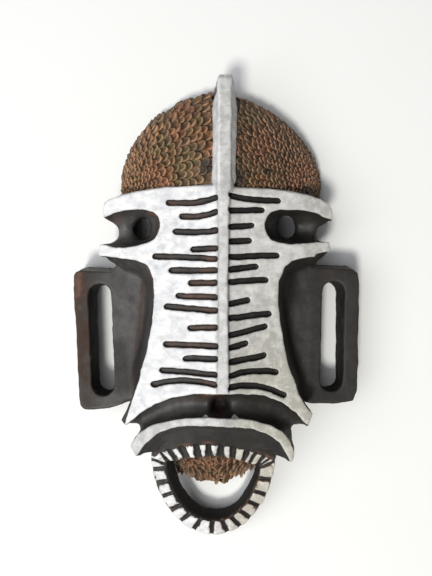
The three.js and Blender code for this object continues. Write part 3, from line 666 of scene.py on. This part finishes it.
# none lie on the ground, or under the brow and the lip
over_ground = places[:, 2] > 0.8
uncovered = (places[:, 1] > 84.0 - brow["bow"] * places[:, 0] ** 2) | (places[:, 1] < -147.0)
places = places[over_ground & uncovered]
scale_count = len(places)
roots = places[:, 0:3].copy()
on_chin = roots[:, 1] < 0.0
row_distance, pitch = places[:, 6:8].T
_, up = head_field(roots)
forward = places[:, 3:6]
forward = forward - np.einsum("ij,ij->i", forward, up)[:, None] * up
forward /= np.linalg.norm(forward, axis=1)[:, None]
sideways = np.cross(up, forward)
ids = [places[:, k].astype(np.int64) for k in (8, 9, 10)]


def luck(kind):
    """One fixed random number from 0 to 1 for each scale."""
    return chance(*ids, np.full(scale_count, 40 + kind, dtype=np.int64))


# no two are turned, placed or sized alike, and the chin's are the roughest
yaw = np.radians(np.where(on_chin, 90.0, 46.0)) * (luck(1) - 0.5)
roots += sideways * (0.34 * row_distance * (luck(6) - 0.5))[:, None]
turned = forward * np.cos(yaw)[:, None] + sideways * np.sin(yaw)[:, None]
sideways = np.cross(up, turned)
width = row_distance * (0.90 + 0.36 * luck(2)) * np.where(on_chin, 1.15, 1.0)
length = pitch * (1.45 + 0.50 * luck(3)) * np.where(on_chin, 0.72, 1.0)
rise = scale_rise * (0.55 + 0.85 * luck(4)) * np.clip(pitch / 7.0, 0.6, 1.1)
rise *= np.where(on_chin, 1.0, 0.6 + 0.4 * smooth_step(roots[:, 2], 10.0, 50.0))

# one scale: thin at the root, high at the free end and bent down at the sides
along, across = np.meshgrid(scale_grid_along, scale_grid_across, indexing="ij")
rows, columns = along.shape
along, across = along.ravel(), across.ravel()
round_side = 1.0 - np.sqrt(1.0 - 0.985 * across ** 2)
plan_x = along * (1.0 - end_lag * round_side)
plan_y = across * (1.0 - 0.12 * (1.0 - along))
lift = 0.10 + 0.80 * along ** 1.15 - 0.42 * (0.3 + 0.7 * along) * across ** 2
lift = lift + 0.25 * (1.0 - across ** 2) * along
# the fingertip left the middle hollow and the rim thicker
from_middle = np.hypot(across, (along - 0.55) / 0.45)
on_end = smooth_step(along, 0.25, 0.5)
lift = lift + on_end * (0.34 * smooth_step(from_middle, 0.45, 0.86) - 0.16)
lift = lift - 0.30 * smooth_step(along, 0.90, 1.02) - 0.10 * smooth_step(np.abs(across), 0.85, 1.0)
top_count = rows * columns

# a skirt goes down to the skin, round from the left side over the free end to the right side
grid = np.arange(top_count).reshape(rows, columns)
rim = np.concatenate([grid[1:, 0], grid[-1, 1:-1], grid[::-1][:-1, -1]])
faces = []
for i in range(rows - 1):
    for j in range(columns - 1):
        faces.append((grid[i, j], grid[i + 1, j], grid[i + 1, j + 1], grid[i, j + 1]))
for k in range(len(rim) - 1):
    faces.append((rim[k], top_count + k, top_count + k + 1, rim[k + 1]))
faces = np.array(faces)

skirt_x, skirt_y, skirt_depth = 0.965, 0.94, -0.45
flat_x = np.concatenate([plan_x, plan_x[rim] * skirt_x])
flat_y = np.concatenate([plan_y, plan_y[rim] * skirt_y])
flat_lift = np.concatenate([lift, np.full(len(rim), skirt_depth)])

# a painted highlight lies along the free rim; painted shade darkens the root, which lies under the free end
# before it, the hollow middle and the skirt
lit_end = smooth_step(plan_x / (1.0 - end_lag * round_side), 0.82, 0.95)
lit_side = 0.55 * smooth_step(np.abs(across), 0.72, 1.0) * along
rim_highlight = np.concatenate([np.maximum(lit_end, lit_side), np.zeros(len(rim))])
shaded_middle = 0.52 * (1.0 - smooth_step(from_middle, 0.35, 0.85))
shaded_root = 1.0 - smooth_step(along, 0.38, 0.62)
root_shade = np.concatenate([np.maximum(shaded_middle, shaded_root), np.full(len(rim), 1.0)])

scale_points = (roots[:, None, :]
                + (flat_x[None, :] - 0.5)[:, :, None] * (length[:, None] * turned)[:, None, :]
                + flat_y[None, :, None] * (0.5 * width[:, None] * sideways)[:, None, :]
                + (flat_lift[None, :] * rise[:, None])[:, :, None] * up[:, None, :])
per_scale = scale_points.shape[1]
scale_points = scale_points.reshape(-1, 3)
# each point keeps its height over the skin, so long scales bend with the head
bent, outward = head_field(scale_points)
wanted = (flat_lift[None, :] * rise[:, None]).ravel()
scale_points += outward * (wanted - bent)[:, None]
for axis in range(3):
    dents = ripple(scale_points, small_dent, 61 + axis)
    scale_points[:, axis] += np.where(scale_points[:, 1] < 0.0, 0.85, 0.55) * dents
scale_points = keep_in_box(scale_points)

scale_faces = (faces[None, :, :] + per_scale * np.arange(scale_count)[:, None, None]).reshape(-1, 4)
scale_mesh = bpy.data.meshes.new("clay_scales")
scale_mesh.from_pydata((scale_points / MM + np.array(face_origin)).tolist(), [], scale_faces.tolist())
scale_mesh.shade_smooth()
scales_object = bpy.data.objects.new("clay_scales", scale_mesh)
bpy.context.collection.objects.link(scales_object)
print("scales", scale_count, "triangles", 2 * len(scale_faces))


def fire_marks(spots):
    """How strongly each scale point lies in one of the spots, each as x, y and radius in the plan."""
    strength = np.zeros(len(scale_points))
    for spot_x, spot_y, radius in spots:
        distance = np.hypot(scale_points[:, 0] - spot_x, scale_points[:, 1] - spot_y)
        strength = np.maximum(strength, 1.0 - smooth_step(distance, 0.35 * radius, 1.25 * radius))
    return strength


orange_marks = [(-35, 141, 9), (-57, 106, 11), (-9, 138, 8), (-4, 122, 8), (46, 133, 13), (80, 104, 16),
                (40, 125, 10), (-30, 165, 12), (-48, 96, 9), (-24, -158, 13), (2, -157, 12), (22, -158, 10)]
olive_marks = [(-24, 113, 17), (-50, 128, 12), (30, 158, 16), (12, 110, 12), (-20, 92, 12)]
smoke_marks = [(-7, 106, 9), (16, 96, 14), (46.3, 103.5, 4.5), (10, 88, 14), (85, 86, 12), (14, 130, 7),
               (44, -160, 10)]
paint(scale_mesh, "tone", np.repeat(luck(5), per_scale))
# painted highlight on the rims and painted shade at the roots
paint(scale_mesh, "rim", np.tile(rim_highlight, scale_count))
paint(scale_mesh, "root", np.tile(root_shade, scale_count))
paint(scale_mesh, "orange", fire_marks(orange_marks))
paint(scale_mesh, "olive", fire_marks(olive_marks))
# painted shade: darkest at the crown's low edge near the ground, and a little over its right half and the
# chin; the listed smoke spots darken the scales too
x, y, z = scale_points.T
smoke_and_shade = 0.95 * (1.0 - smooth_step(z, 8.0, 30.0)) * (y > scales_from)
smoke_and_shade = np.maximum(smoke_and_shade, 0.30 * (((x > crest_x) & (y > scales_from)) | (y < 0.0)))
paint(scale_mesh, "smoke_and_shade", np.maximum(fire_marks(smoke_marks), smoke_and_shade))


# Finishes
# Each finish is a group that gives a colour, a roughness and a height for the bump. Colours are linear.
def finish_group(name, *fields):
    """A group that takes a position and these fields, with its two ends."""
    group = bpy.data.node_groups.new(name, "ShaderNodeTree")
    group.interface.new_socket("Position", in_out="INPUT", socket_type="NodeSocketVector")
    for field_name in fields:
        group.interface.new_socket(field_name, in_out="INPUT", socket_type="NodeSocketFloat")
    group.interface.new_socket("Color", in_out="OUTPUT", socket_type="NodeSocketColor")
    for output in ("Roughness", "Height"):
        group.interface.new_socket(output, in_out="OUTPUT", socket_type="NodeSocketFloat")
    return group, group.nodes.new("NodeGroupInput").outputs, group.nodes.new("NodeGroupOutput")


def stretched(tree, place, size):
    return add_node(tree, "ShaderNodeMapping", {"Vector": place, "Scale": size}).outputs[0]


def times(tree, first, second):
    return calculate(tree, "MULTIPLY", first, second)


def tint(tree, share, base, colour, blend="MIX"):
    """A share of a plain colour over the base."""
    return mix_colour(tree, share, base, (*colour, 1.0), blend)


# smoked clay: burnished and blackened in the fire, with brown blushes; painted shade blackens the creases
# and the shaded places, and painted sheen makes the left half paler
fire_black = (0.0145, 0.013, 0.0115)
fire_grey = (0.027, 0.0245, 0.0215)
sheen_and_mark_grey = (0.102, 0.098, 0.096)
blush_brown = (0.046, 0.021, 0.013)
rust_orange = (0.135, 0.064, 0.040)
worn_brown = (0.11, 0.075, 0.055)
shade_black = (0.009, 0.008, 0.0075)
speck_grey = (0.12, 0.10, 0.085)
smoked, given, end = finish_group("smoked_clay", "Brown", "Sheen And Pale Marks", "Shade And Darkening", "Rust", "Crease")
place = given["Position"]
cloud = spread(smoked, noise(smoked, place, 38.0, 4.0, 0.55), 0.3, 0.7)
dark = mix_colour(smoked, cloud, (*fire_black, 1.0), (*fire_grey, 1.0))
breakup = noise(smoked, stretched(smoked, place, (1.0, 0.5, 1.0)), 90.0, 5.0, 0.7)
breakup = spread(smoked, breakup, 0.35, 0.65, 0.4, 1.0)
# painted sheen and pale marks: paler grey where the field says
paled = tint(smoked, times(smoked, given["Sheen And Pale Marks"], breakup), dark, sheen_and_mark_grey)
blush = noise(smoked, stretched(smoked, place, (1.0, 0.45, 1.0)), 21.0, 3.0)
blush = times(smoked, spread(smoked, blush, 0.58, 0.74), 0.6)
stain = noise(smoked, stretched(smoked, place, (1.0, 0.6, 1.0)), 75.0, 5.0, 0.65)
stain = spread(smoked, stain, 0.34, 0.62, 0.2, 1.0)
stained = times(smoked, given["Brown"], stain)
blush = calculate(smoked, "ADD", blush, stained, clamp=True)
browned = tint(smoked, times(smoked, blush, 0.88), paled, blush_brown)
rusted = tint(smoked, times(smoked, given["Rust"], stain), browned, rust_orange)
worn = times(smoked, spread(smoked, given["Crease"], -0.10, -0.30), 0.14)
worn = tint(smoked, worn, rusted, worn_brown)
# painted shade: black in the creases, and where the shade field says
crease_shade = times(smoked, spread(smoked, given["Crease"], 0.06, 0.40), 0.75)
crease_shade = calculate(smoked, "MAXIMUM", crease_shade, given["Shade And Darkening"])
shaded = tint(smoked, crease_shade, worn, shade_black)
speck = times(smoked, spread(smoked, noise(smoked, place, 700.0, 2.0), 0.62, 0.75), 0.22)
smoked.links.new(tint(smoked, speck, shaded, speck_grey), end.inputs["Color"])
grain = noise(smoked, place, 520.0, 3.0, 0.6)
burnish = noise(smoked, stretched(smoked, place, (1.0, 0.12, 1.0)), 260.0, 2.0)
shine = mix_value(smoked, stained, spread(smoked, grain, 0.2, 0.8, 0.44, 0.60), 0.78)
smoked.links.new(mix_value(smoked, given["Shade And Darkening"], shine, 0.85), end.inputs["Roughness"])
smoked.links.new(mix_value(smoked, 0.5, grain, burnish), end.inputs["Height"])

# brushed slip: chalky white, grey with painted shade and thin slip where the Grey field says, greyer in its
# creases as painted shade, and with small pits
thin_white = (0.66, 0.66, 0.685)
full_white = (0.81, 0.81, 0.805)
patch_grey = (0.53, 0.53, 0.56)
mottle_grey = (0.50, 0.50, 0.52)
thin_and_shade_grey = (0.415, 0.41, 0.40)
warm_cast = (1.0, 0.965, 0.86)
fleck_cream = (0.86, 0.84, 0.76)
crease_shade_grey = (0.40, 0.39, 0.42)
edge_grey = (0.45, 0.43, 0.41)
edge_brown = (0.36, 0.29, 0.24)
pit_brown = (0.16, 0.14, 0.12)
brushed, given, end = finish_group("brushed_slip", "Inside", "Grey", "Yellow", "Crease")
place = given["Position"]
streaks = noise(brushed, stretched(brushed, place, (0.35, 1.0, 1.0)), 190.0, 4.0, 0.6)
patches = spread(brushed, noise(brushed, place, 60.0, 4.0, 0.6), 0.46, 0.70, 0.0, 0.65)
mottled = noise(brushed, place, 120.0, 5.0, 0.7)
white = mix_colour(brushed, spread(brushed, streaks, 0.35, 0.65), (*thin_white, 1.0), (*full_white, 1.0))
slip_colour = tint(brushed, patches, white, patch_grey)
slip_colour = tint(brushed, spread(brushed, mottled, 0.50, 0.68, 0.0, 0.55), slip_colour, mottle_grey)
# painted shade and thin slip in grey, where the Grey field says
thin_and_shade_share = spread(brushed, mottled, 0.38, 0.62, 0.62, 1.25)
thin_and_shade_share = calculate(brushed, "MULTIPLY", given["Grey"], thin_and_shade_share, clamp=True)
slip_colour = tint(brushed, thin_and_shade_share, slip_colour, thin_and_shade_grey)
# the painted warm cast of the light, where the Yellow field says
slip_colour = tint(brushed, times(brushed, given["Yellow"], 0.95), slip_colour, warm_cast, "MULTIPLY")
fleck = spread(brushed, noise(brushed, place, 330.0, 2.0), 0.66, 0.72, 0.0, 0.55)
slip_colour = tint(brushed, times(brushed, fleck, given["Yellow"]), slip_colour, fleck_cream)
# painted shade: grey in the slip's creases
slip_colour = tint(brushed, spread(brushed, given["Crease"], 0.03, 0.30, 0.0, 0.6), slip_colour, crease_shade_grey)
slip_colour = tint(brushed, spread(brushed, given["Crease"], -0.16, -0.40, 0.0, 0.3), slip_colour, edge_grey)
slip_colour = tint(brushed, spread(brushed, given["Inside"], 0.0, 0.6, 0.4, 0.0), slip_colour, edge_brown)
pit = add_node(brushed, "ShaderNodeTexVoronoi", {"Vector": place, "Scale": 190.0, "Randomness": 1.0})
pit_depth = spread(brushed, pit.outputs["Distance"], 0.05, 0.13, 1.0, 0.0)
few = spread(brushed, noise(brushed, place, 45.0, 1.0), 0.60, 0.66)
pit_depth = times(brushed, pit_depth, few)
slip_colour = tint(brushed, times(brushed, pit_depth, 0.7), slip_colour, pit_brown)
rough_height = mix_value(brushed, 0.6, noise(brushed, place, 420.0, 4.0, 0.6), streaks)
brushed.links.new(slip_colour, end.inputs["Color"])
brushed.links.new(spread(brushed, streaks, 0.3, 0.7, 0.62, 0.5), end.inputs["Roughness"])
brushed.links.new(calculate(brushed, "SUBTRACT", rough_height, pit_depth), end.inputs["Height"])

# scale clay: red and brown clay, with a painted highlight along each scale's free rim and painted shade at
# its root
tone_colours = [(0.22, (0.10, 0.070, 0.034)), (0.38, (0.17, 0.100, 0.048)), (0.52, (0.29, 0.130, 0.062)),
                (0.64, (0.20, 0.145, 0.056)), (0.78, (0.36, 0.150, 0.072))]
olive_brown = (0.165, 0.142, 0.058)
fired_orange = (0.36, 0.135, 0.07)
duller = (0.86, 0.86, 0.82)
rim_highlight_pink = (0.52, 0.285, 0.165)
dust_brown = (0.05, 0.036, 0.022)
smoke_and_shade_grey = (0.026, 0.025, 0.026)
root_shade_black = (0.014, 0.009, 0.006)
tiled, given, end = finish_group("scale_clay", "Tone", "Rim Highlight", "Root Shade", "Orange", "Olive", "Smoke And Shade")
place = given["Position"]
mottle = noise(tiled, place, 240.0, 4.0, 0.65)
mixed = times(tiled, noise(tiled, place, 42.0, 3.0), 0.50)
mixed = calculate(tiled, "MULTIPLY_ADD", given["Tone"], 0.50, mixed)
scale_colour = colour_ramp(tiled, mixed, tone_colours)
scale_colour = tint(tiled, times(tiled, given["Olive"], 0.75), scale_colour, olive_brown)
scale_colour = tint(tiled, times(tiled, given["Orange"], 0.8), scale_colour, fired_orange)
scale_colour = tint(tiled, 1.0, scale_colour, duller, "MULTIPLY")
# painted highlight along each free rim
scale_colour = tint(tiled, times(tiled, given["Rim Highlight"], 0.70), scale_colour, rim_highlight_pink)
scale_colour = tint(tiled, spread(tiled, mottle, 0.36, 0.62, 0.5, 0.0), scale_colour, dust_brown)
# painted shade near the ground, on the right half and the chin, and the smoke spots
scale_colour = tint(tiled, times(tiled, given["Smoke And Shade"], 0.82), scale_colour, smoke_and_shade_grey)
# painted shade at each root
scale_colour = tint(tiled, times(tiled, given["Root Shade"], 0.88), scale_colour, root_shade_black)
tiled.links.new(scale_colour, end.inputs["Color"])
tiled.links.new(spread(tiled, mottle, 0.3, 0.7, 0.5, 0.72), end.inputs["Roughness"])
tiled.links.new(noise(tiled, place, 600.0, 3.0, 0.6), end.inputs["Height"])


def placed(tree, group, inputs):
    return add_node(tree, "ShaderNodeGroup", inputs, node_tree=group).outputs


def field(tree, name):
    return add_node(tree, "ShaderNodeAttribute", attribute_name=name).outputs["Fac"]


def finish(material, colour, roughness, height, bump_strength, specular):
    """The material's colour, roughness and bump go to its shader."""
    tree = material.node_tree
    bump_inputs = {"Strength": bump_strength, "Distance": 0.0006, "Height": height}
    shader = tree.nodes["Principled BSDF"]
    tree.links.new(colour, shader.inputs["Base Color"])
    tree.links.new(roughness, shader.inputs["Roughness"])
    tree.links.new(add_node(tree, "ShaderNodeBump", bump_inputs).outputs[0], shader.inputs["Normal"])
    shader.inputs["Specular IOR Level"].default_value = specular


# the fired body: smoked clay, with slip over it, bare brown under the scales and in the hollow
bare_skin = (0.022, 0.015, 0.010)
hollow_brown = (0.060, 0.038, 0.027)
fired_clay = bpy.data.materials.new("fired_clay")
fired_clay.use_nodes = True
tree = fired_clay.node_tree
position = add_node(tree, "ShaderNodeTexCoord").outputs["Object"]
wobble = calculate(tree, "MULTIPLY_ADD", noise(tree, position, 230.0, 3.0, 0.6), 1.3, -0.65)
slip_inside = calculate(tree, "ADD", field(tree, "slip"), wobble)
slip_mask = spread(tree, slip_inside, -0.16, 0.16)
skin_mask = spread(tree, calculate(tree, "ADD", field(tree, "skin"), wobble), -0.2, 0.2)
in_hollow = spread(tree, field(tree, "hollow"), -0.5, 0.5)
shade_field, crease_field = field(tree, "shade_and_darkening"), field(tree, "crease")

clay = placed(tree, smoked, {"Position": position, "Brown": field(tree, "brown"), "Sheen And Pale Marks": field(tree, "sheen_and_pale_marks"),
                             "Shade And Darkening": shade_field, "Rust": field(tree, "rust"), "Crease": crease_field})
slipped = placed(tree, brushed, {"Position": position, "Inside": slip_inside, "Grey": field(tree, "grey"),
                                 "Yellow": field(tree, "yellow"), "Crease": crease_field})
colour = tint(tree, skin_mask, clay["Color"], bare_skin)
# the hollow is brown clay, but not where the painted shade lies
hollow_unshaded = times(tree, in_hollow, calculate(tree, "SUBTRACT", 1.0, shade_field))
colour = tint(tree, hollow_unshaded, colour, hollow_brown)
colour = mix_colour(tree, slip_mask, colour, slipped["Color"])
roughness = mix_value(tree, slip_mask, clay["Roughness"], slipped["Roughness"])
height = calculate(tree, "ADD", mix_value(tree, slip_mask, clay["Height"], slipped["Height"]), slip_mask)
finish(fired_clay, colour, roughness, height, bump_strength=0.35, specular=0.32)
body_mesh.materials.clear()
body_mesh.materials.append(fired_clay)
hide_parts("mask")
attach(body_object, "root")

# the scales' own red clay
red_clay = bpy.data.materials.new("red_scale_clay")
red_clay.use_nodes = True
tree = red_clay.node_tree
position = add_node(tree, "ShaderNodeTexCoord").outputs["Object"]
tiles = placed(tree, tiled, {"Position": position, "Tone": field(tree, "tone"), "Rim Highlight": field(tree, "rim"),
                             "Root Shade": field(tree, "root"), "Orange": field(tree, "orange"),
                             "Olive": field(tree, "olive"), "Smoke And Shade": field(tree, "smoke_and_shade")})
finish(red_clay, tiles["Color"], tiles["Roughness"], tiles["Height"], bump_strength=0.5, specular=0.35)
scale_mesh.materials.append(red_clay)
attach(scales_object, "root")
